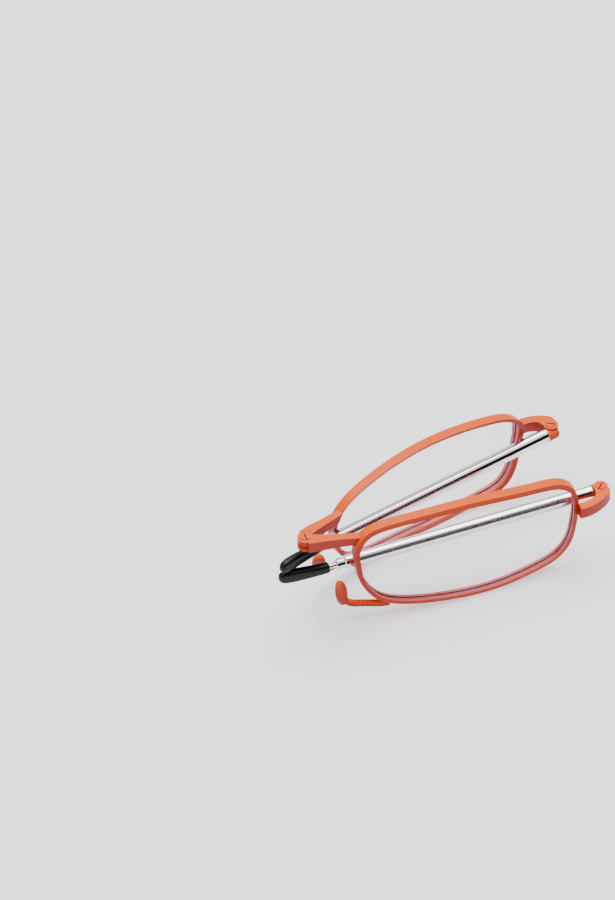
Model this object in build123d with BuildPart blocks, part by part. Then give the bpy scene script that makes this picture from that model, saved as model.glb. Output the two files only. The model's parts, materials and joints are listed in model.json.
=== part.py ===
from build123d import *
from math import cos, radians, sin
import os

# Folding reading glasses, stored folded: a two-eye front hinged at the nose
# bridge, and two telescoping temples folded inside the closed front.
# Millimetres, +Z up, the rims stand on Z = 0. +X runs from the bridge hinge
# to the temple hinges; the wearer's left eye is on the -Y side.
# Every left-hand piece is drawn in the left half's own frame: x along the
# lens from the bridge hinge axis, y towards the wearer, z up.

# ---- overall sizes ----
fold_angle = 20.0            # angle between the two halves as folded
eye_width = 50.2             # rim, outside
eye_height = 26.3            # rim, outside
rim_inset = 9.6              # bridge hinge axis to the rim's nasal side
end_reach = 6.2              # rim's temporal side to the temple hinge axis
rim_width = 1.05             # seen from the front
rim_depth = 2.05             # front to back
rim_forward = 7.4            # bridge hinge axis to the foremost lens point
sweep_share = 0.446          # foremost lens point, as a share of the eye width
base_radius = 94.0           # front curve, seen from above
cross_radius = 46.0          # front curve, seen from the side
running_fit = 0.03           # side clearance in the hinges
pin_fit = 0.04               # radial clearance round the hinge pins

# ---- lens seat ----
groove_depth = 0.40
groove_width = 0.80
lens_thickness = 1.35
seat_fit = 0.02

# ---- construction depths for cuts that pass right through the front ----
cut_front = 12.0             # cutting planes stand this far before the bridge axis
cut_through = 20.0

# ---- bridge hinge ----
bridge_top = 22.8
bridge_height = 2.7
arm_rim_top = 21.75
arm_rim_bottom = 19.9
bridge_ear_radius = 1.75
bridge_knuckle_radius = 1.4
bridge_ear = 0.75
bridge_pin_radius = 0.60
screw_head_radius = 1.02
screw_head_height = 0.55
screw_head_stand = 0.14
slot_width = 0.26
slot_depth = 0.30
washer_thickness = 0.15
washer_radius = 1.35

# ---- temple hinge ----
hinge_back = 0.70            # hinge axis behind the bridge hinge axis
end_top = 16.8
end_height = 2.7
end_ear = 0.75
end_ear_radius = 1.60
knuckle_radius = 1.45
temple_pin_radius = 0.55
stop_face = 1.0              # block end beyond the hinge axis

# ---- temple ----
tube_back = 0.72             # tube axis behind the temple hinge axis
tube_drop = 1.82             # tube axis below the end piece's top
tube_toe = 2.3               # degrees the folded temple turns to the lens
hinge_lean = 1.4             # degrees each temple hinge leans, one temple passing over the other
tube_start = 1.85
tube_short = 8.1             # tube's end short of the bridge hinge axis
tube_radius = 1.50
tube_wall = 0.28
collar_wall = 0.58           # bead outside the rod
collar_length = 1.9
collar_seat = 2.5
rod_radius = 0.60
rod_fit = 0.05
rod_inner = 6.2              # rod's hidden end, from the temple hinge
bush_length = 2.5
spigot_length = 4.0
tube_round = 0.45
tip_short = 4.8              # tip's root short of the bridge hinge axis
tip_length = 11.1
tip_socket = 4.6
block_cap = 0.05             # hinge block over the tube's radius
tube_lip = 0.30              # end wall of the tube that holds the collar
tube_lip_gap = 0.35          # that wall's hole, round the rod
tip_beyond = 0.16            # folded length past the opposite hinge axis
tip_side = 2.25
hinge_beyond = 2.05          # end piece past its hinge axis
hinge_side = 0.35
ear_gap = 0.10               # clearance round a hinge's ears and knuckles

# ---- nose pads ----
pad_height = 6.2
pad_width = 3.0
pad_thickness = 1.5
pad_wire = 1.3

# ---- layout ----
half = radians(fold_angle / 2)
hinge_span = rim_inset + eye_width + end_reach
sweep_x = rim_inset + eye_width * sweep_share
tube_end = hinge_span - tube_short
tip_start = hinge_span - tip_short
tip_end = tip_start + tip_length
tube_bore = tube_radius - tube_wall
block_radius = tube_radius + block_cap
collar_radius = rod_radius + collar_wall
end_mid = end_top - end_height / 2
sweep_z = eye_height * 0.44
left_reach = (tip_end - hinge_span + tip_beyond) * cos(half) + tip_side * sin(half)
right_reach = (hinge_span + hinge_beyond) * cos(half) - hinge_side * sin(half)
fold_x = (left_reach - right_reach) / 2

# left half's frame: from above, and from the front
left_plan = Plane(origin=(fold_x, 0, 0), x_dir=(cos(half), -sin(half), 0), z_dir=(0, 0, 1))
left_face = Plane(
    origin=(fold_x, 0, 0),
    x_dir=(cos(half), -sin(half), 0),
    z_dir=(-sin(half), -cos(half), 0),
)
# vertical section through the foremost lens point, x towards the wearer
sweep_origin = (left_plan.location * Location((sweep_x, 0, 0))).position
left_section = Plane(origin=sweep_origin, x_dir=(sin(half), cos(half), 0), z_dir=(cos(half), -sin(half), 0))
sweep_centre = (left_plan.location * Location((sweep_x, base_radius - rim_forward, 0))).position
sweep_axis = Axis(sweep_centre, (0, 0, 1))


def at(x, y, z):
    return left_plan.location * Location((x, y, z))


# temple hinge frames: x along the lens, z up the hinge screw. The left one leans
# so that its folded temple falls towards the tip; the right one's rises.
lean = radians(hinge_lean)
hinge_spot = at(hinge_span, hinge_back, end_mid).position
left_hinge = Plane(
    origin=hinge_spot,
    x_dir=(cos(half) * cos(lean), -sin(half) * cos(lean), sin(lean)),
    z_dir=(-cos(half) * sin(lean), sin(half) * sin(lean), cos(lean)),
)
right_hinge_low = Plane(
    origin=(hinge_spot.X, -hinge_spot.Y, hinge_spot.Z),
    x_dir=(cos(half) * cos(lean), sin(half) * cos(lean), sin(lean)),
    z_dir=(-cos(half) * sin(lean), -sin(half) * sin(lean), cos(lean)),
)
right_hinge_high = Plane(
    origin=(hinge_spot.X, -hinge_spot.Y, hinge_spot.Z),
    x_dir=(cos(half) * cos(lean), sin(half) * cos(lean), -sin(lean)),
    z_dir=(cos(half) * sin(lean), sin(half) * sin(lean), cos(lean)),
)
# turns a mirrored left-hand temple about its hinge, from falling to rising
raised = right_hinge_high.location * right_hinge_low.location.inverse()


def at_hinge(x, y, z):
    return left_hinge.location * Location((x, y, z))


# temple frame: origin beside the hinge axis, z along the temple, x up
toe = radians(tube_toe)
temple_root = at_hinge(0, tube_back, end_height / 2 - tube_drop).position
temple_way = left_hinge.x_dir * -cos(toe) + left_hinge.y_dir * -sin(toe)
temple_side = temple_way.cross(left_hinge.z_dir)
temple = Plane(origin=temple_root, x_dir=left_hinge.z_dir, z_dir=temple_way)
temple_over = Plane(origin=temple_root, x_dir=temple_way, z_dir=left_hinge.z_dir)
temple_beside = Plane(origin=temple_root, x_dir=temple_way, z_dir=temple_side)

# rim outline as shares of its width and height, from the nasal side over the brow
rim_shape = [
    (0.000, 0.620),
    (0.010, 0.768),
    (0.048, 0.867),
    (0.149, 0.943),
    (0.288, 0.979),
    (0.487, 0.999),
    (0.676, 0.974),
    (0.813, 0.939),
    (0.930, 0.878),
    (0.986, 0.776),
    (1.000, 0.608),
    (0.988, 0.411),
    (0.968, 0.251),
    (0.915, 0.115),
    (0.805, 0.049),
    (0.636, 0.004),
    (0.408, 0.0205),
    (0.229, 0.068),
    (0.109, 0.156),
    (0.042, 0.312),
    (0.010, 0.465),
]
rim_edge = Spline(*[(rim_inset + u * eye_width, v * eye_height) for u, v in rim_shape], periodic=True)
rim_steps = 56


def rim_inside(inset):
    # the rim's outside edge moved inwards, square to the edge
    points = []
    for step in range(rim_steps):
        spot = rim_edge @ (step / rim_steps)
        way = rim_edge % (step / rim_steps)
        points.append((spot.X + way.Y * inset, spot.Y - way.X * inset))
    return points


# ---- curved shells that give the front its sweep (construction bodies) ----
def sweep_profile(front, back):
    near = cross_radius - front
    far = cross_radius - back
    centre = (cross_radius - rim_forward, sweep_z)
    outer = CenterArc(centre, near, 158, 44)
    inner = CenterArc(centre, far, 158, 44)
    Line(outer @ 0, inner @ 0)
    Line(outer @ 1, inner @ 1)


with BuildPart() as rim_shell:
    with BuildSketch(left_section):
        with BuildLine():
            sweep_profile(0, rim_depth)
        make_face()
    revolve(axis=sweep_axis)

with BuildPart() as lens_shell:
    with BuildSketch(left_section):
        with BuildLine():
            sweep_profile((rim_depth - lens_thickness) / 2, (rim_depth + lens_thickness) / 2)
        make_face()
    revolve(axis=sweep_axis)

with BuildPart() as groove_shell:
    with BuildSketch(left_section):
        with BuildLine():
            sweep_profile((rim_depth - groove_width) / 2, (rim_depth + groove_width) / 2)
        make_face()
    revolve(axis=sweep_axis)

with BuildPart() as bevel_shell:
    with BuildSketch(left_section):
        with BuildLine():
            bevel_front = (rim_depth - groove_width) / 2 + seat_fit
            sweep_profile(bevel_front, rim_depth - bevel_front)
        make_face()
    revolve(axis=sweep_axis)

with BuildPart() as groove_ring:
    with BuildSketch(left_face.offset(cut_front)):
        with BuildLine():
            Spline(*rim_inside(rim_width - groove_depth), periodic=True)
        make_face()
    extrude(amount=-cut_through)
    add(groove_shell.part, mode=Mode.INTERSECT)

# the rim's outline right through, which the pieces joined to it are cut back to
with BuildPart() as eye_form:
    with BuildSketch(left_face.offset(cut_front)):
        with BuildLine():
            Spline(*rim_inside(0), periodic=True)
        make_face()
    extrude(amount=-cut_through)

# ---- left rim: one grooved metal eyewire ----
with BuildPart() as left_rim:
    with BuildSketch(left_face.offset(cut_front)):
        with BuildLine():
            Spline(*rim_inside(0), periodic=True)
        make_face()
        with BuildLine():
            Spline(*rim_inside(rim_width), periodic=True)
        make_face(mode=Mode.SUBTRACT)
    extrude(amount=-cut_through)
    add(rim_shell.part, mode=Mode.INTERSECT)
    add(groove_ring.part, mode=Mode.SUBTRACT)
left_rim.part.label = "left_rim"

# ---- left lens: meniscus with a bevel that sits in the groove ----
with BuildPart() as left_lens_bevel:
    with BuildSketch(left_face.offset(cut_front)):
        with BuildLine():
            Spline(*rim_inside(rim_width - groove_depth + seat_fit), periodic=True)
        make_face()
    extrude(amount=-cut_through)
    add(bevel_shell.part, mode=Mode.INTERSECT)

with BuildPart() as left_lens:
    with BuildSketch(left_face.offset(cut_front)):
        with BuildLine():
            Spline(*rim_inside(rim_width + seat_fit), periodic=True)
        make_face()
    extrude(amount=-cut_through)
    add(lens_shell.part, mode=Mode.INTERSECT)
    add(left_lens_bevel.part)
left_lens.part.label = "left_lens"

# ---- bridge hinge: fork on the left arm, tongue on the right arm ----
bridge_mid = bridge_top - bridge_height / 2
bridge_gap = bridge_height - 2 * bridge_ear
bridge_tongue = bridge_gap - 2 * washer_thickness - 2 * running_fit
arm_line = [
    (0.03, -2.15),
    (2.4, -2.4),
    (rim_inset - 2.8, -2.55),
    (rim_inset - 0.6, -2.8),
    (rim_inset + 1.7, -3.1),
    (rim_inset + 1.9, -1.35),
    (rim_inset - 1.2, -0.95),
    (3.1, -0.15),
    (1.75, 0.2),
    (0.03, 0.0),
]
arm_side = [
    (-3, bridge_top - bridge_height),
    (3, bridge_top - bridge_height),
    (rim_inset + 2.4, arm_rim_bottom),
    (rim_inset + 2.4, arm_rim_top),
    (2.2, bridge_top),
    (-3, bridge_top),
]

with BuildPart() as left_bridge_arm:
    with BuildSketch(left_plan.offset(arm_rim_bottom - 1)):
        Polygon(*arm_line, align=None)
        Circle(bridge_ear_radius)
    extrude(amount=6)
    with BuildSketch(left_face.offset(6)):
        Polygon(*arm_side, align=None)
    extrude(amount=-12, mode=Mode.INTERSECT)
    add(eye_form.part, mode=Mode.SUBTRACT)
    with Locations(at(0, 0, bridge_mid)):
        Cylinder(bridge_knuckle_radius + ear_gap, bridge_gap, mode=Mode.SUBTRACT)
        Cylinder(bridge_pin_radius, bridge_height + 1, mode=Mode.SUBTRACT)
    with BuildSketch(left_plan.offset(bridge_mid - bridge_gap / 2)):
        Polygon((0, -3), (-3, -3), (-3, 3), (3, 3), (3, 0.5), (0, 0), align=None)
    extrude(amount=bridge_gap, mode=Mode.SUBTRACT)
    with Locations(at(0, 0, bridge_top)):
        Cylinder(screw_head_radius + 0.02, 2 * (screw_head_height - screw_head_stand), mode=Mode.SUBTRACT)
left_bridge_arm.part.label = "left_bridge_arm"

with BuildPart() as right_arm_form:
    with BuildSketch(left_plan.offset(arm_rim_bottom - 1)):
        Polygon(*arm_line, align=None)
    extrude(amount=6)
    with BuildSketch(left_face.offset(6)):
        Polygon(*arm_side, align=None)
    extrude(amount=-12, mode=Mode.INTERSECT)
    add(eye_form.part, mode=Mode.SUBTRACT)
    with Locations(at(0, 0, bridge_mid)):
        Cylinder(bridge_ear_radius + ear_gap, bridge_height + 1, mode=Mode.SUBTRACT)
    with BuildSketch(left_plan.offset(bridge_mid - bridge_tongue / 2)):
        Polygon((0.03, -2.15), (2.4, -2.4), (2.4, 0), (1.75, 0.2), (0.03, 0.0), align=None)
        Circle(bridge_knuckle_radius)
    extrude(amount=bridge_tongue)
    with Locations(at(0, 0, bridge_mid)):
        Cylinder(bridge_pin_radius + pin_fit, bridge_height, mode=Mode.SUBTRACT)

with BuildPart() as right_bridge_arm:
    mirror(right_arm_form.part, about=Plane.XZ)
right_bridge_arm.part.label = "right_bridge_arm"

with BuildPart() as bridge_washer_upper:
    with Locations(at(0, 0, bridge_mid + bridge_gap / 2 - washer_thickness / 2)):
        Cylinder(washer_radius, washer_thickness)
        Cylinder(bridge_pin_radius, washer_thickness, mode=Mode.SUBTRACT)
bridge_washer_upper.part.label = "bridge_washer_upper"

with BuildPart() as bridge_washer_lower:
    with Locations(at(0, 0, bridge_mid - bridge_gap / 2 + washer_thickness / 2)):
        Cylinder(washer_radius, washer_thickness)
        Cylinder(bridge_pin_radius, washer_thickness, mode=Mode.SUBTRACT)
bridge_washer_lower.part.label = "bridge_washer_lower"

with BuildPart() as bridge_screw:
    with Locations(at(0, 0, bridge_mid)):
        Cylinder(bridge_pin_radius, bridge_height)
    with Locations(at(0, 0, bridge_top + screw_head_stand - screw_head_height / 2)):
        Cylinder(screw_head_radius, screw_head_height)
    with Locations(at(0, 0, bridge_top + screw_head_stand)):
        Box(slot_width, 3, 2 * slot_depth, mode=Mode.SUBTRACT)
bridge_screw.part.label = "bridge_screw"

# ---- end piece: bar bent back from the rim to the temple hinge fork ----
end_gap = end_height - 2 * end_ear
end_tongue = end_gap - 2 * running_fit

with BuildPart() as left_end_form:
    with BuildSketch(left_hinge.offset(-end_height / 2)):
        with BuildLine():
            front_edge = Spline((-6.75, -5.2), (-4.4, -5.25), (-1.7, -4.4), (0.3, -3.15), (1.5, -1.9))
            outer_edge = Line(front_edge @ 1, (1.7, -stop_face))
            stop_edge = Line(outer_edge @ 1, (0.6, -stop_face))
            inner_line = Polyline(stop_edge @ 1, (-1.45, -0.6), (-1.65, -1.9))
            back_edge = Spline(inner_line @ 1, (-3.1, -2.95), (-4.8, -3.35), (-6.75, -3.4))
            Line(back_edge @ 1, front_edge @ 0)
        make_face()
        Circle(end_ear_radius)
    extrude(amount=end_height)
    with BuildSketch(left_hinge.offset(-end_gap / 2)):
        Circle(knuckle_radius + ear_gap)
        with Locations((0, 1.5)):
            Rectangle(6, 5)
    extrude(amount=end_gap, mode=Mode.SUBTRACT)
    with BuildSketch(left_hinge.offset(-end_height)):
        Circle(temple_pin_radius)
    extrude(amount=2 * end_height, mode=Mode.SUBTRACT)
    with BuildSketch(left_hinge.offset(end_height / 2 + screw_head_stand - screw_head_height)):
        Circle(screw_head_radius + 0.02)
    extrude(amount=screw_head_height, mode=Mode.SUBTRACT)

with BuildPart() as left_end_piece:
    add(left_end_form.part)
    add(eye_form.part, mode=Mode.SUBTRACT)
left_end_piece.part.label = "left_end_piece"

with BuildPart() as left_hinge_screw:
    with BuildSketch(left_hinge.offset(-end_height / 2)):
        Circle(temple_pin_radius)
    extrude(amount=end_height)
    with BuildSketch(left_hinge.offset(end_height / 2 + screw_head_stand - screw_head_height)):
        Circle(screw_head_radius)
    extrude(amount=screw_head_height)
    with BuildSketch(left_hinge.offset(end_height / 2 + screw_head_stand - slot_depth)):
        Rectangle(slot_width, 3, rotation=-42)
    extrude(amount=slot_depth, mode=Mode.SUBTRACT)
left_hinge_screw.part.label = "left_hinge_screw"

# ---- temple: hinge block, tube and end collar ----
with BuildPart() as left_hinge_block:
    with BuildSketch(temple.offset(-stop_face)):
        Circle(block_radius)
    extrude(amount=stop_face + tube_start)
    fillet(left_hinge_block.edges().sort_by(Axis(temple.origin, temple_way))[0], 0.5)
    with BuildSketch(temple.offset(tube_start)):
        Circle(tube_bore)
    extrude(amount=spigot_length)
    with BuildSketch(left_hinge.offset(end_tongue / 2), left_hinge.offset(-end_tongue / 2 - 4)):
        Circle(end_ear_radius + 0.08)
    extrude(amount=4, mode=Mode.SUBTRACT)
    with BuildSketch(left_hinge.offset(-end_tongue / 2)):
        Circle(knuckle_radius)
    extrude(amount=end_tongue)
    with BuildSketch(left_hinge.offset(-end_height)):
        Circle(temple_pin_radius + pin_fit)
    extrude(amount=2 * end_height, mode=Mode.SUBTRACT)
left_hinge_block.part.label = "left_hinge_block"

with BuildPart() as left_temple_tube:
    with BuildSketch(temple.offset(tube_start)):
        Circle(tube_radius)
    extrude(amount=tube_end - tube_start)
    fillet(left_temple_tube.edges().sort_by(Axis(temple.origin, temple_way))[-1], tube_round)
    with BuildSketch(temple.offset(tube_start)):
        Circle(tube_bore)
    extrude(amount=tube_end - tube_start - tube_lip, mode=Mode.SUBTRACT)
    with BuildSketch(temple.offset(tube_start)):
        Circle(rod_radius + tube_lip_gap)
    extrude(amount=tube_end - tube_start, mode=Mode.SUBTRACT)
left_temple_tube.part.label = "left_temple_tube"

with BuildPart() as left_end_collar:
    with BuildSketch(temple.offset(tube_end - tube_lip - collar_seat)):
        Circle(tube_bore)
    extrude(amount=collar_seat)
    with BuildSketch(temple.offset(tube_end - tube_lip)):
        Circle(rod_radius + tube_lip_gap)
    extrude(amount=tube_lip)
    with BuildSketch(temple.offset(tube_end)):
        Circle(collar_radius)
    extrude(amount=collar_length)
    fillet(left_end_collar.edges().sort_by(Axis(temple.origin, temple_way))[-1], 0.45)
    with BuildSketch(temple.offset(tube_end - tube_lip - collar_seat)):
        Circle(rod_radius + rod_fit)
    extrude(amount=collar_seat + collar_length + 1, mode=Mode.SUBTRACT)
left_end_collar.part.label = "left_end_collar"

# ---- telescoping rod with its guide bush and the ear tip ----
with BuildPart() as left_temple_rod:
    with BuildSketch(temple.offset(rod_inner)):
        Circle(rod_radius)
    extrude(amount=tip_start + tip_socket - rod_inner)
left_temple_rod.part.label = "left_temple_rod"

with BuildPart() as left_rod_bush:
    with BuildSketch(temple.offset(rod_inner)):
        Circle(tube_bore - rod_fit)
        Circle(rod_radius, mode=Mode.SUBTRACT)
    extrude(amount=bush_length)
left_rod_bush.part.label = "left_rod_bush"

with BuildPart() as left_temple_tip:
    with BuildSketch(temple_beside.offset(-4)):
        with BuildLine():
            tip_top = Spline((tip_start, 1.1), (tip_start + 4.5, 1.3), (tip_end - 1.8, 1.55))
            tip_nose = Spline(tip_top @ 1, (tip_end, 0), (tip_end - 1.8, -1.7), tangents=[(1, 0), (-1, 0)])
            tip_under = Spline(tip_nose @ 1, (tip_start + 4.5, -1.5), (tip_start, -1.2))
            Line(tip_under @ 1, tip_top @ 0)
        make_face()
    extrude(amount=8)
    with BuildSketch(temple_over.offset(-4)):
        with BuildLine():
            tip_front = Spline((tip_start, 1.05), (tip_start + 4.5, 1.3), (tip_end - 1.5, 1.8))
            tip_turn = [(tip_end, 0.85), (tip_end - 1.3, -0.3)]
            tip_end_arc = Spline(tip_front @ 1, *tip_turn, tangents=[(1, 0), (-1, 0)])
            tip_back = Spline(tip_end_arc @ 1, (tip_start + 4.5, -0.8), (tip_start, -1.05))
            Line(tip_back @ 1, tip_front @ 0)
        make_face()
    extrude(amount=8, mode=Mode.INTERSECT)
    fillet(left_temple_tip.edges(), 0.4)
    with BuildSketch(temple.offset(tip_start - 1)):
        Circle(rod_radius)
    extrude(amount=tip_socket + 1, mode=Mode.SUBTRACT)
left_temple_tip.part.label = "left_temple_tip"

# ---- nose pad: wire soldered under the rim, and a leaf that rests on the nose ----
pad_route = [
    at(rim_inset + 7.4, -4.45, 2.6).position,
    at(rim_inset + 4.8, -4.6, 3.2).position,
    at(rim_inset + 2.6, -4.55, 3.85).position,
    at(rim_inset + 0.6, -4.4, 4.3).position,
    at(rim_inset - 1.2, -4.2, 4.85).position,
    at(rim_inset - 2.2, -4.0, 6.0).position,
]
with BuildPart() as left_pad_arm:
    with BuildLine():
        pad_wire_line = Spline(*pad_route)
    with BuildSketch(Plane(origin=pad_wire_line @ 0, z_dir=pad_wire_line % 0)):
        RectangleRounded(pad_wire, pad_wire, pad_wire / 4)
    sweep()
    add(left_rim.part, mode=Mode.SUBTRACT)
left_pad_arm.part.label = "left_pad_arm"

pad_lean = radians(17)
pad_turn = radians(38) - half
pad_across = Vector(cos(pad_turn), sin(pad_turn), 0)
pad_up = Vector(-sin(pad_lean) * cos(half), sin(pad_lean) * sin(half), cos(pad_lean))
pad_centre = at(rim_inset - 2.95, -3.85, 7.9).position
pad_plane = Plane(origin=pad_centre, x_dir=pad_across, z_dir=pad_across.cross(pad_up))
with BuildPart() as left_nose_pad:
    with BuildSketch(pad_plane):
        Ellipse(pad_width / 2, pad_height / 2)
    extrude(amount=pad_thickness / 2, both=True)
    fillet(left_nose_pad.edges(), 0.55)
    add(left_pad_arm.part, mode=Mode.SUBTRACT)
left_nose_pad.part.label = "left_nose_pad"

# ---- right-hand pieces ----
with BuildPart() as right_rim:
    mirror(left_rim.part, about=Plane.XZ)
right_rim.part.label = "right_rim"

with BuildPart() as right_lens:
    mirror(left_lens.part, about=Plane.XZ)
right_lens.part.label = "right_lens"

with BuildPart() as right_pad_arm:
    mirror(left_pad_arm.part, about=Plane.XZ)
right_pad_arm.part.label = "right_pad_arm"

with BuildPart() as right_nose_pad:
    mirror(left_nose_pad.part, about=Plane.XZ)
right_nose_pad.part.label = "right_nose_pad"

with BuildPart() as right_eye_form:
    mirror(eye_form.part, about=Plane.XZ)

with BuildPart() as right_end_piece:
    with Locations(raised):
        add(mirror(left_end_form.part, about=Plane.XZ, mode=Mode.PRIVATE))
    add(right_eye_form.part, mode=Mode.SUBTRACT)
right_end_piece.part.label = "right_end_piece"

with BuildPart() as right_hinge_screw:
    with Locations(raised):
        add(mirror(left_hinge_screw.part, about=Plane.XZ, mode=Mode.PRIVATE))
right_hinge_screw.part.label = "right_hinge_screw"

with BuildPart() as right_hinge_block:
    with Locations(raised):
        add(mirror(left_hinge_block.part, about=Plane.XZ, mode=Mode.PRIVATE))
right_hinge_block.part.label = "right_hinge_block"

with BuildPart() as right_temple_tube:
    with Locations(raised):
        add(mirror(left_temple_tube.part, about=Plane.XZ, mode=Mode.PRIVATE))
right_temple_tube.part.label = "right_temple_tube"

with BuildPart() as right_end_collar:
    with Locations(raised):
        add(mirror(left_end_collar.part, about=Plane.XZ, mode=Mode.PRIVATE))
right_end_collar.part.label = "right_end_collar"

with BuildPart() as right_temple_rod:
    with Locations(raised):
        add(mirror(left_temple_rod.part, about=Plane.XZ, mode=Mode.PRIVATE))
right_temple_rod.part.label = "right_temple_rod"

with BuildPart() as right_rod_bush:
    with Locations(raised):
        add(mirror(left_rod_bush.part, about=Plane.XZ, mode=Mode.PRIVATE))
right_rod_bush.part.label = "right_rod_bush"

with BuildPart() as right_temple_tip:
    with Locations(raised):
        add(mirror(left_temple_tip.part, about=Plane.XZ, mode=Mode.PRIVATE))
right_temple_tip.part.label = "right_temple_tip"

os.makedirs("parts", exist_ok=True)
export_step(left_rim.part, "parts/left_rim.step")
export_step(left_lens.part, "parts/left_lens.step")
export_step(left_bridge_arm.part, "parts/left_bridge_arm.step")
export_step(bridge_screw.part, "parts/bridge_screw.step")
export_step(bridge_washer_upper.part, "parts/bridge_washer_upper.step")
export_step(bridge_washer_lower.part, "parts/bridge_washer_lower.step")
export_step(left_pad_arm.part, "parts/left_pad_arm.step")
export_step(left_nose_pad.part, "parts/left_nose_pad.step")
export_step(left_end_piece.part, "parts/left_end_piece.step")
export_step(left_hinge_screw.part, "parts/left_hinge_screw.step")
export_step(left_hinge_block.part, "parts/left_hinge_block.step")
export_step(left_temple_tube.part, "parts/left_temple_tube.step")
export_step(left_end_collar.part, "parts/left_end_collar.step")
export_step(left_temple_rod.part, "parts/left_temple_rod.step")
export_step(left_rod_bush.part, "parts/left_rod_bush.step")
export_step(left_temple_tip.part, "parts/left_temple_tip.step")
export_step(right_rim.part, "parts/right_rim.step")
export_step(right_lens.part, "parts/right_lens.step")
export_step(right_bridge_arm.part, "parts/right_bridge_arm.step")
export_step(right_pad_arm.part, "parts/right_pad_arm.step")
export_step(right_nose_pad.part, "parts/right_nose_pad.step")
export_step(right_end_piece.part, "parts/right_end_piece.step")
export_step(right_hinge_screw.part, "parts/right_hinge_screw.step")
export_step(right_hinge_block.part, "parts/right_hinge_block.step")
export_step(right_temple_tube.part, "parts/right_temple_tube.step")
export_step(right_end_collar.part, "parts/right_end_collar.step")
export_step(right_temple_rod.part, "parts/right_temple_rod.step")
export_step(right_rod_bush.part, "parts/right_rod_bush.step")
export_step(right_temple_tip.part, "parts/right_temple_tip.step")
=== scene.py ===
import json
import math

import bmesh
import bpy
from mathutils import Matrix, Vector


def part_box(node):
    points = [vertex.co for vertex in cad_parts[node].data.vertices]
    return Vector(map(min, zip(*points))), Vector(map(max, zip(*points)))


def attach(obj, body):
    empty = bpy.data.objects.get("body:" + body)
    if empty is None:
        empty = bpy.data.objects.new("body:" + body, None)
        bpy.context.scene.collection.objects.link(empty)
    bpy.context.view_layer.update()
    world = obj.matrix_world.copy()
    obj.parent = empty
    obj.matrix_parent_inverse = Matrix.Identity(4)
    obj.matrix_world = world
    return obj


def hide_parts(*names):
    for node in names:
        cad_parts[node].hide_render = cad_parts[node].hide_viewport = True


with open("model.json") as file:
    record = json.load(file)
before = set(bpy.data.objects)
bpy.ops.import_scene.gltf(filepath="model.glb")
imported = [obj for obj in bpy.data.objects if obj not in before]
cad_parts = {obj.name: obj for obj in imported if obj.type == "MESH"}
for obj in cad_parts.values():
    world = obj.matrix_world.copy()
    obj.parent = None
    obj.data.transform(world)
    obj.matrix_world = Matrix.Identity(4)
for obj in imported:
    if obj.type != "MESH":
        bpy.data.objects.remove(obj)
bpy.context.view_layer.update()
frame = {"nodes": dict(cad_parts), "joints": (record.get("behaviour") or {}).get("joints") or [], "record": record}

nodes = frame["nodes"]
MM = 0.001
HALF_FOLD = math.radians(10)     # each half front turns this far from the line of the two hinges


# ---------------------------------------------------------------- materials
def new_material(name):
    material = bpy.data.materials.new(name)
    material.use_nodes = True
    tree = material.node_tree
    shader = next(n for n in tree.nodes if n.type == "BSDF_PRINCIPLED")
    return material, tree, shader


def add_node(tree, kind, **settings):
    node = tree.nodes.new(kind)
    for key, value in settings.items():
        setattr(node, key, value)
    return node


def noise(tree, scale, detail=2.0, roughness=0.5, stretch=(1, 1, 1)):
    """Noise in the object's own metres; scale is in features per metre."""
    place = add_node(tree, "ShaderNodeTexCoord")
    mapping = add_node(tree, "ShaderNodeMapping")
    mapping.inputs["Scale"].default_value = stretch
    texture = add_node(tree, "ShaderNodeTexNoise")
    texture.inputs["Scale"].default_value = scale
    texture.inputs["Detail"].default_value = detail
    texture.inputs["Roughness"].default_value = roughness
    tree.links.new(place.outputs["Object"], mapping.inputs["Vector"])
    tree.links.new(mapping.outputs["Vector"], texture.inputs["Vector"])
    return texture.outputs["Fac"]


def ramp(tree, source, stops):
    node = add_node(tree, "ShaderNodeValToRGB")
    elements = node.color_ramp.elements
    while len(elements) < len(stops):
        elements.new(0.5)
    for element, (place, colour) in zip(elements, stops):
        element.position = place
        element.color = (*colour, 1)
    tree.links.new(source, node.inputs["Fac"])
    return node.outputs["Color"]


def spread(tree, source, low, high):
    """source, from 0 to 1, stretched to run from low to high."""
    node = add_node(tree, "ShaderNodeMapRange")
    node.inputs["To Min"].default_value = low
    node.inputs["To Max"].default_value = high
    tree.links.new(source, node.inputs["Value"])
    return node.outputs["Result"]


def bump(tree, shader, height, strength, distance):
    node = add_node(tree, "ShaderNodeBump")
    node.inputs["Strength"].default_value = strength
    node.inputs["Distance"].default_value = distance
    tree.links.new(height, node.inputs["Height"])
    tree.links.new(node.outputs["Normal"], shader.inputs["Normal"])


def enamel(name, lit, side, roughness=0.46):
    """Enamel with painted light: faces turned up get a brighter, warmer orange as painted light, upright faces a
    darker red as painted shade, with fine orange peel.
    """
    material, tree, shader = new_material(name)
    geometry = add_node(tree, "ShaderNodeNewGeometry")
    split = add_node(tree, "ShaderNodeSeparateXYZ")
    tree.links.new(geometry.outputs["Normal"], split.inputs["Vector"])
    # painted light and shade: the base colour runs from a darker red on upright faces to a brighter orange on
    # faces turned up
    facing_light_paint = ramp(tree, split.outputs["Z"], [(0.12, side), (0.72, lit)])
    patches = spread(tree, noise(tree, 900, 4), 0.93, 1.07)
    tone = add_node(tree, "ShaderNodeHueSaturation")
    tree.links.new(facing_light_paint, tone.inputs["Color"])
    tree.links.new(patches, tone.inputs["Value"])
    tree.links.new(tone.outputs["Color"], shader.inputs["Base Color"])
    gloss = spread(tree, noise(tree, 2600, 3), roughness - 0.07, roughness + 0.1)
    tree.links.new(gloss, shader.inputs["Roughness"])
    bump(tree, shader, noise(tree, 5200, 2), 0.12, 0.00006)
    shader.inputs["Coat Weight"].default_value = 0.06
    shader.inputs["Coat Roughness"].default_value = 0.2
    shader.inputs["Specular IOR Level"].default_value = 0.22
    return material


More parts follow.
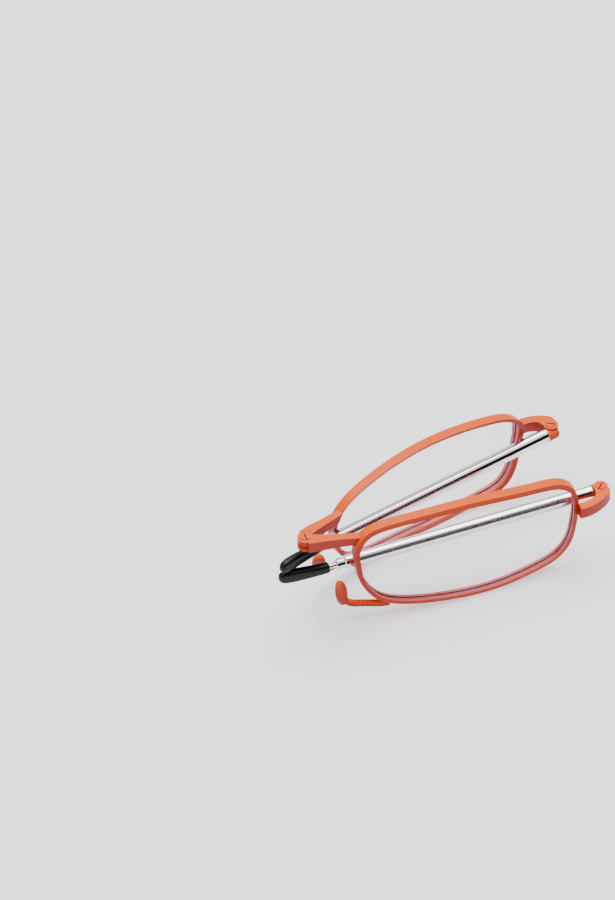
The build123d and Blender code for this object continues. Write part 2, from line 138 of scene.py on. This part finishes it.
def polished_metal(name, colour, roughness, drawn=(1, 1, 1)):
    """Plated metal with faint drawing lines along the tube and slight smudges."""
    material, tree, shader = new_material(name)
    dulled = tuple(c * 0.93 for c in colour)
    smudge = ramp(tree, noise(tree, 380, 4), [(0.3, dulled), (0.7, colour)])
    tree.links.new(smudge, shader.inputs["Base Color"])
    gloss = spread(tree, noise(tree, 1400, 4, stretch=drawn), roughness, roughness + 0.07)
    tree.links.new(gloss, shader.inputs["Roughness"])
    bump(tree, shader, noise(tree, 4200, 2, stretch=drawn), 0.05, 0.00004)
    shader.inputs["Metallic"].default_value = 1.0
    return material


def tip_plastic():
    """Black moulded plastic with a soft gloss, dulled in patches by handling."""
    material, tree, shader = new_material("ear_tip_black")
    deep, worn = (0.0008, 0.0008, 0.001), (0.0026, 0.0026, 0.003)
    shade = ramp(tree, noise(tree, 700, 4), [(0.3, deep), (0.75, worn)])
    tree.links.new(shade, shader.inputs["Base Color"])
    gloss = spread(tree, noise(tree, 1100, 5), 0.22, 0.42)
    tree.links.new(gloss, shader.inputs["Roughness"])
    bump(tree, shader, noise(tree, 6000, 3), 0.1, 0.00005)
    shader.inputs["Specular IOR Level"].default_value = 0.2
    return material


def lens_glass():
    """Thin clear lens with a faint lilac coating."""
    material, tree, shader = new_material("lens_clear")
    tint = ramp(tree, noise(tree, 45, 2), [(0.3, (0.72, 0.55, 0.62)), (0.7, (0.84, 0.7, 0.8))])
    tree.links.new(tint, shader.inputs["Base Color"])
    gloss = spread(tree, noise(tree, 900, 3), 0.015, 0.05)
    tree.links.new(gloss, shader.inputs["Roughness"])
    shader.inputs["Alpha"].default_value = 0.035
    shader.inputs["IOR"].default_value = 1.5
    shader.inputs["Specular IOR Level"].default_value = 0.8
    return material


def lens_edge():
    """The ground edge of the lens, painted with the rim's colour as a pinkish lilac band: a painted reflection of
    the rim.
    """
    material, tree, shader = new_material("lens_edge")
    # painted reflection of the orange rim, in pinkish lilac
    tint = ramp(tree, noise(tree, 260, 3), [(0.3, (0.6, 0.14, 0.2)), (0.7, (0.7, 0.3, 0.44))])
    tree.links.new(tint, shader.inputs["Base Color"])
    gloss = spread(tree, noise(tree, 1500, 2), 0.3, 0.5)
    tree.links.new(gloss, shader.inputs["Roughness"])
    shader.inputs["Alpha"].default_value = 0.7
    return material


def bush_plastic():
    material, tree, shader = new_material("bush_plastic")
    shade = ramp(tree, noise(tree, 800, 3), [(0.3, (0.6, 0.6, 0.57)), (0.7, (0.72, 0.72, 0.69))])
    tree.links.new(shade, shader.inputs["Base Color"])
    gloss = spread(tree, noise(tree, 2000, 2), 0.45, 0.6)
    tree.links.new(gloss, shader.inputs["Roughness"])
    return material


# its two colours are painted light on the tops and painted shade on the upright faces
paint = enamel("enamel_orange", lit=(0.95, 0.12, 0.004), side=(0.4, 0.016, 0.006))
chrome = polished_metal("chrome_plate", (0.82, 0.82, 0.83), 0.05, drawn=(0.2, 1, 1))
steel = polished_metal("steel_washer", (0.6, 0.56, 0.52), 0.22)
black = tip_plastic()
glass = lens_glass()
edge_painted_reflection = lens_edge()
bush = bush_plastic()
finishes = {
    "paint": paint, "chrome": chrome, "steel": steel, "tip": black, "lens": glass, "bush": bush,
}
slot_of = {part["node"]: part["material_slot"] for part in frame["record"]["subparts"]}


SOFTEN_STEPS = 3                 # segments of each eased edge
SOFTEN_ANGLE = math.radians(40)
CORNER_ANGLE = math.radians(35)


def dress(name, material, edge):
    """Gives a CAD node its finish, with its edges eased by edge metres."""
    piece = nodes[name]
    piece.data.materials.clear()
    piece.data.materials.append(material)
    for face in piece.data.polygons:
        face.use_smooth = True
    if edge:
        ease = piece.modifiers.new("eased_edges", "BEVEL")
        ease.width = edge
        ease.segments = SOFTEN_STEPS
        ease.limit_method = "ANGLE"
        ease.angle_limit = SOFTEN_ANGLE
        ease.harden_normals = True
    else:
        corners = piece.modifiers.new("sharp_edges", "EDGE_SPLIT")
        corners.split_angle = CORNER_ANGLE


# eased edge widths in mm, by piece without its side
edges = {
    "rim": 0.16, "bridge_arm": 0.12, "end_piece": 0.16, "hinge_screw": 0.05, "bridge_screw": 0.05,
    "hinge_block": 0.06,
}
for name in sorted(nodes):
    side_free = name.replace("left_", "").replace("right_", "")
    dress(name, finishes[slot_of[name]], edges.get(side_free, 0) * MM)


# painted shade: the screws' slots and the seams round their heads get a near-black enamel for the shade that falls
# in them
SLOT_FLOOR = 0.2 * MM            # below a screw's top, where the slot's floor starts
FLAT_UP = 0.8                    # a normal this upright belongs to the head's top
painted_slot_shade = enamel("enamel_seam", lit=(0.12, 0.012, 0.004), side=(0.09, 0.008, 0.003), roughness=0.6)
for name in ("bridge_screw", "left_hinge_screw", "right_hinge_screw"):
    screw = nodes[name].data
    screw.materials.append(painted_slot_shade)
    top = max(v.co.z for v in screw.vertices)
    for face in screw.polygons:
        if face.normal.z < FLAT_UP or face.center.z < top - SLOT_FLOOR:
            # painted shade on every face but the head's top
            face.material_index = 1

# the lens's ground edge, which carries the painted reflection of the rim, is every face that doesn't look along
# the lens's own axis
EDGE_FACING = 0.6
for side, turn in (("left", 1), ("right", -1)):
    lens = nodes[side + "_lens"].data
    lens.materials.append(edge_painted_reflection)
    facing = Vector((math.sin(HALF_FOLD), turn * math.cos(HALF_FOLD), 0))
    for face in lens.polygons:
        if abs(face.normal.dot(facing)) < EDGE_FACING:
            # these faces get the painted reflection of the rim
            face.material_index = 1


# ---------------------------------------------------------------- ear tips
# (along the temple, up, down, outer side, inner side), in mm from the tip's root
tip_rings = [
    (0.0, 1.02, -1.1, 0.98, -0.98), (0.35, 1.08, -1.18, 1.05, -1.02), (2.4, 1.14, -1.32, 1.14, -0.93),
    (4.5, 1.26, -1.46, 1.26, -0.78), (6.6, 1.4, -1.6, 1.46, -0.6), (8.4, 1.5, -1.68, 1.66, -0.42),
    (9.5, 1.42, -1.62, 1.72, -0.28), (10.3, 1.2, -1.4, 1.66, -0.12), (10.8, 0.78, -1.0, 1.5, 0.15),
    (11.06, 0.25, -0.5, 1.15, 0.5),
]
RING_STEPS = 40
SQUARENESS = 0.62                # 1 is an ellipse, less is boxier


def tip_frame(side):
    """Root of the ear tip, and its directions along the temple, up the hinge and out to the side."""
    joints = {joint["name"]: joint for joint in frame["joints"]}
    along = Vector(joints[side + "_telescope"]["axis"]).normalized()
    up = Vector(joints[side + "_temple_hinge"]["axis"]).normalized()
    if up.z < 0:
        up = -up
    across = along.cross(up) if side == "left" else up.cross(along)
    rod = nodes[side + "_temple_rod"]
    tip = nodes[side + "_temple_tip"]
    rod_spots = [rod.matrix_world @ v.co for v in rod.data.vertices]
    root = min((tip.matrix_world @ v.co).dot(along) for v in tip.data.vertices)
    middle = sum(rod_spots, Vector()) / len(rod_spots)
    return middle + along * (root - middle.dot(along)), along, up, across


def ear_tip(side):
    root, along, up, across = tip_frame(side)
    spots, faces = [], []
    for way, top, low, outer, inner in tip_rings:
        for step in range(RING_STEPS):
            angle = 2 * math.pi * step / RING_STEPS
            c, s = math.cos(angle), math.sin(angle)
            flat_c = math.copysign(abs(c) ** SQUARENESS, c)
            flat_s = math.copysign(abs(s) ** SQUARENESS, s)
            rise = (top + low) / 2 + (top - low) / 2 * flat_s
            reach = (outer + inner) / 2 + (outer - inner) / 2 * flat_c
            spots.append(root + (along * way + up * rise + across * reach) * MM)
    for ring in range(len(tip_rings) - 1):
        for step in range(RING_STEPS):
            a, b = ring * RING_STEPS + step, ring * RING_STEPS + (step + 1) % RING_STEPS
            faces.append((a, b, b + RING_STEPS, a + RING_STEPS))
    faces.append(tuple(range(RING_STEPS)))
    last = (len(tip_rings) - 1) * RING_STEPS
    faces.append(tuple(last + step for step in range(RING_STEPS)))
    mesh = bpy.data.meshes.new(side + "_ear_tip")
    mesh.from_pydata([tuple(spot) for spot in spots], [], faces)
    shell = bmesh.new()
    shell.from_mesh(mesh)
    bmesh.ops.recalc_face_normals(shell, faces=shell.faces)
    shell.to_mesh(mesh)
    shell.free()
    for face in mesh.polygons:
        face.use_smooth = True
    piece = bpy.data.objects.new(side + "_ear_tip", mesh)
    bpy.context.scene.collection.objects.link(piece)
    mesh.materials.append(black)
    smooth = piece.modifiers.new("smooth", "SUBSURF")
    smooth.levels = smooth.render_levels = 1
    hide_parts(side + "_temple_tip")
    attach(piece, side + "_rod")


ear_tip("left")
ear_tip("right")


# ---------------------------------------------------------------- stage
def stage_plane():
    size = 4.0
    mesh = bpy.data.meshes.new("floor")
    corners = [(-size, -size, 0), (size, -size, 0), (size, size, 0), (-size, size, 0)]
    mesh.from_pydata(corners, [], [(0, 1, 2, 3)])
    floor = bpy.data.objects.new("floor", mesh)
    bpy.context.scene.collection.objects.link(floor)
    floor.location.z = -0.02 * MM
    material, tree, shader = new_material("floor_pale")
    tint = ramp(tree, noise(tree, 3, 2), [(0.3, (0.9, 0.895, 0.9)), (0.7, (0.93, 0.925, 0.93))])
    tree.links.new(tint, shader.inputs["Base Color"])
    shader.inputs["Roughness"].default_value = 0.55
    tree.links.new(tint, shader.inputs["Emission Color"])
    shader.inputs["Emission Strength"].default_value = 0.75
    mesh.materials.append(material)


def studio_sky():
    """Bright soft room for the metal to reflect, with a dark band at the horizon, higher towards -Y."""
    world = bpy.data.worlds.new("studio")
    bpy.context.scene.world = world
    world.use_nodes = True
    tree = world.node_tree
    background = next(n for n in tree.nodes if n.type == "BACKGROUND")
    place = add_node(tree, "ShaderNodeTexCoord")
    split = add_node(tree, "ShaderNodeSeparateXYZ")
    tree.links.new(place.outputs["Generated"], split.inputs["Vector"])
    front = add_node(tree, "ShaderNodeMath", operation="MINIMUM")
    tree.links.new(split.outputs["Y"], front.inputs[0])
    front.inputs[1].default_value = 0.0
    height = add_node(tree, "ShaderNodeMath", operation="MULTIPLY_ADD")
    tree.links.new(front.outputs["Value"], height.inputs[0])
    height.inputs[1].default_value = 1.1
    tree.links.new(split.outputs["Z"], height.inputs[2])
    dark = (0.012, 0.012, 0.014)
    room = ramp(tree, height.outputs["Value"], [(0.0, dark), (0.2, dark), (0.28, (1.6, 1.6, 1.62))])
    paths = add_node(tree, "ShaderNodeLightPath")
    mix = add_node(tree, "ShaderNodeMix", data_type="RGBA")
    mix.inputs["A"].default_value = (0.42, 0.42, 0.43, 1)
    tree.links.new(paths.outputs["Is Glossy Ray"], mix.inputs["Factor"])
    tree.links.new(room, mix.inputs["B"])
    tree.links.new(mix.outputs["Result"], background.inputs["Color"])
    background.inputs["Strength"].default_value = 0.9


def soft_light(name, place, size, power):
    """A square area light that looks at the object."""
    data = bpy.data.lights.new(name, "AREA")
    data.size = size
    data.energy = power
    lamp = bpy.data.objects.new(name, data)
    bpy.context.scene.collection.objects.link(lamp)
    lamp.location = place
    lamp.rotation_euler = (-Vector(place)).to_track_quat("-Z", "Y").to_euler()


def make_camera():
    """A long lens: azimuth is from the front, elevation above the table."""
    azimuth, elevation = math.radians(-28.5), math.radians(43.8)
    level = math.cos(elevation)
    look = Vector((-math.sin(azimuth) * level, math.cos(azimuth) * level, -math.sin(elevation)))
    right = Vector((math.cos(azimuth), math.sin(azimuth), 0))
    up = right.cross(look)
    data = bpy.data.cameras.new("camera")
    data.lens = 400
    data.sensor_width = 36
    tall = 188.4 * MM                       # what the frame's height covers at the object
    distance = tall * data.lens / data.sensor_width
    low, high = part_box("bridge_screw")
    pivot = Vector(((low.x + high.x) / 2, (low.y + high.y) / 2, high.z))
    centre = pivot + right * (0.42 * MM) + up * (18.1 * MM)
    camera = bpy.data.objects.new("camera", data)
    bpy.context.scene.collection.objects.link(camera)
    turn = Matrix((right, up, -look)).transposed().to_4x4()
    camera.matrix_world = Matrix.Translation(centre - look * distance) @ turn
    data.clip_start, data.clip_end = 0.05, 20
    bpy.context.scene.camera = camera


stage_plane()
studio_sky()
soft_light("overhead", (0.1, 0.25, 0.9), 0.9, 14)
soft_light("left_fill", (-0.8, -0.3, 0.5), 0.5, 1.2)
make_camera()
